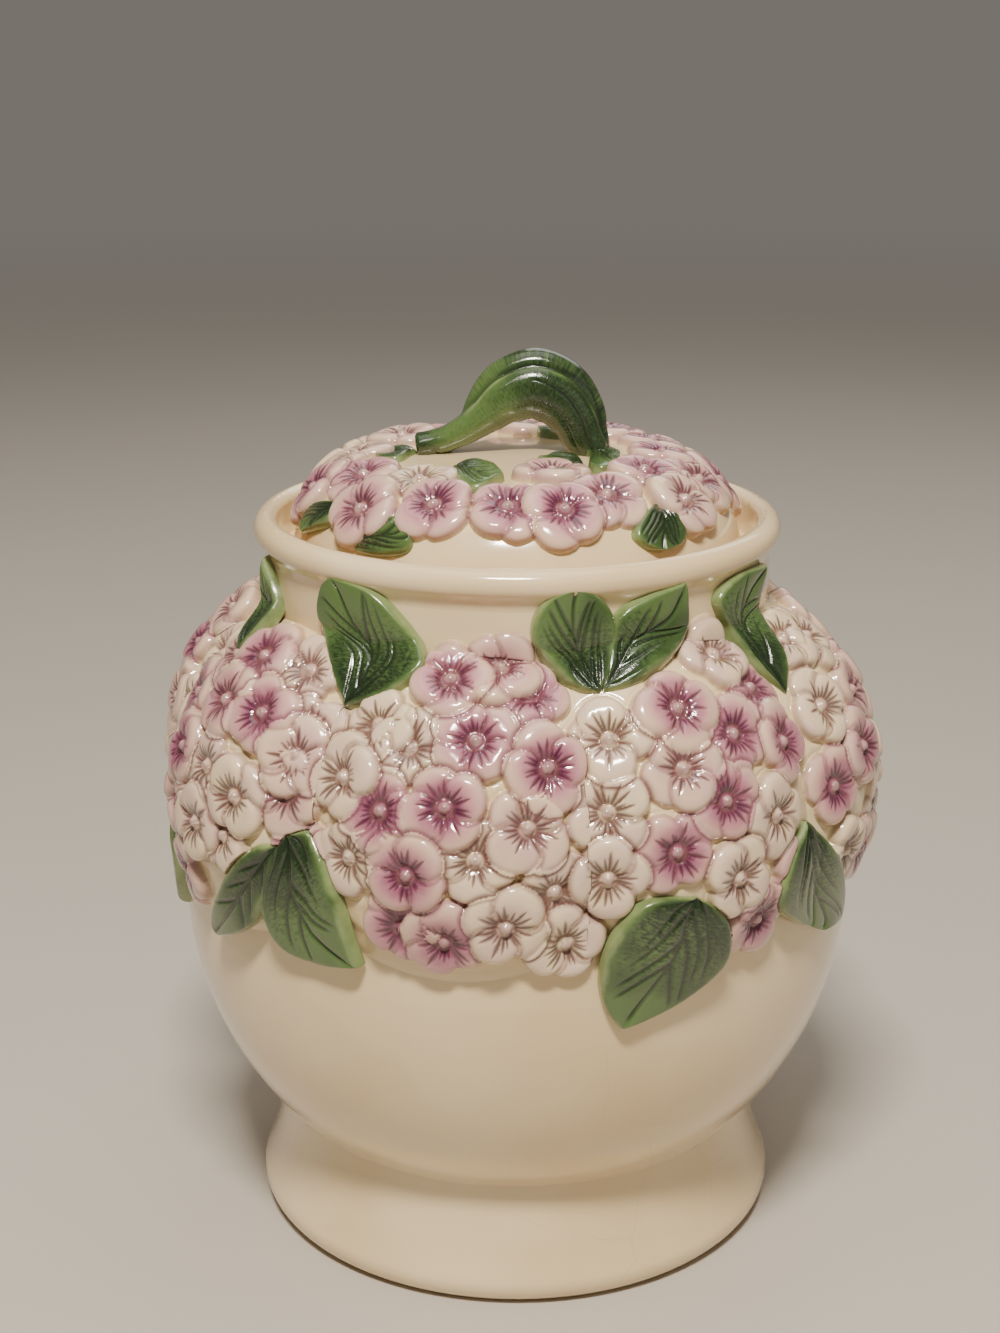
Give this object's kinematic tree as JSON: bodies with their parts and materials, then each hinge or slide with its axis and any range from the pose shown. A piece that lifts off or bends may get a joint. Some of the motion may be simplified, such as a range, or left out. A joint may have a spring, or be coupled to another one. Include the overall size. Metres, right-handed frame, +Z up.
{
  "type": "biscuit jar",
  "caption": "Round-bellied glazed pedestal jar with a drop-in lid, an arched stem handle, and flower heads and leaves in relief.",
  "frame": {"origin": "on the ground at the centre of the foot ring", "axes": "+Z up along the jar's axis, -Y towards the front, +X to the right seen from the front"},
  "size_m": [0.2228, 0.2256, 0.2727],
  "materials": {
    "cream_glaze": "gloss glaze, finely crazed",
    "petal_glaze": "gloss glaze over hand-painted pink and mauve",
    "leaf_glaze": "gloss glaze over hand-painted green"
  },
  "bodies": {
    "jar": {"belly_leaf_1": "leaf_glaze", "belly_leaf_10": "leaf_glaze", "belly_leaf_2": "leaf_glaze", "belly_leaf_3": "leaf_glaze", "belly_leaf_4": "leaf_glaze", "belly_leaf_5": "leaf_glaze", "belly_leaf_6": "leaf_glaze", "belly_leaf_7": "leaf_glaze", "belly_leaf_8": "leaf_glaze", "belly_leaf_9": "leaf_glaze", "bloom_1": "petal_glaze", "bloom_2": "petal_glaze", "bloom_3": "petal_glaze", "bloom_4": "petal_glaze", "bloom_5": "petal_glaze", "bloom_6": "petal_glaze", "bloom_7": "petal_glaze", "bloom_8": "petal_glaze", "florets_1": "petal_glaze", "florets_2": "petal_glaze", "florets_3": "petal_glaze", "florets_4": "petal_glaze", "florets_5": "petal_glaze", "florets_6": "petal_glaze", "florets_7": "petal_glaze", "florets_8": "petal_glaze", "jar_body": "cream_glaze", "shoulder_leaf_1": "leaf_glaze", "shoulder_leaf_10": "leaf_glaze", "shoulder_leaf_2": "leaf_glaze", "shoulder_leaf_3": "leaf_glaze", "shoulder_leaf_4": "leaf_glaze", "shoulder_leaf_5": "leaf_glaze", "shoulder_leaf_6": "leaf_glaze", "shoulder_leaf_7": "leaf_glaze", "shoulder_leaf_8": "leaf_glaze", "shoulder_leaf_9": "leaf_glaze"},
    "lid": {"lid_body": "cream_glaze", "lid_florets": "petal_glaze", "lid_handle": "leaf_glaze", "lid_leaf_1": "leaf_glaze", "lid_leaf_10": "leaf_glaze", "lid_leaf_2": "leaf_glaze", "lid_leaf_3": "leaf_glaze", "lid_leaf_4": "leaf_glaze", "lid_leaf_5": "leaf_glaze", "lid_leaf_6": "leaf_glaze", "lid_leaf_7": "leaf_glaze", "lid_leaf_8": "leaf_glaze", "lid_leaf_9": "leaf_glaze", "lid_locating_ring": "cream_glaze"}
  },
  "joints": [
    {"name": "lid_lift", "type": "slide", "parent": "jar", "child": "lid", "axis": [0, 0, 1], "range_m": [0, 0.12]}
  ]
}
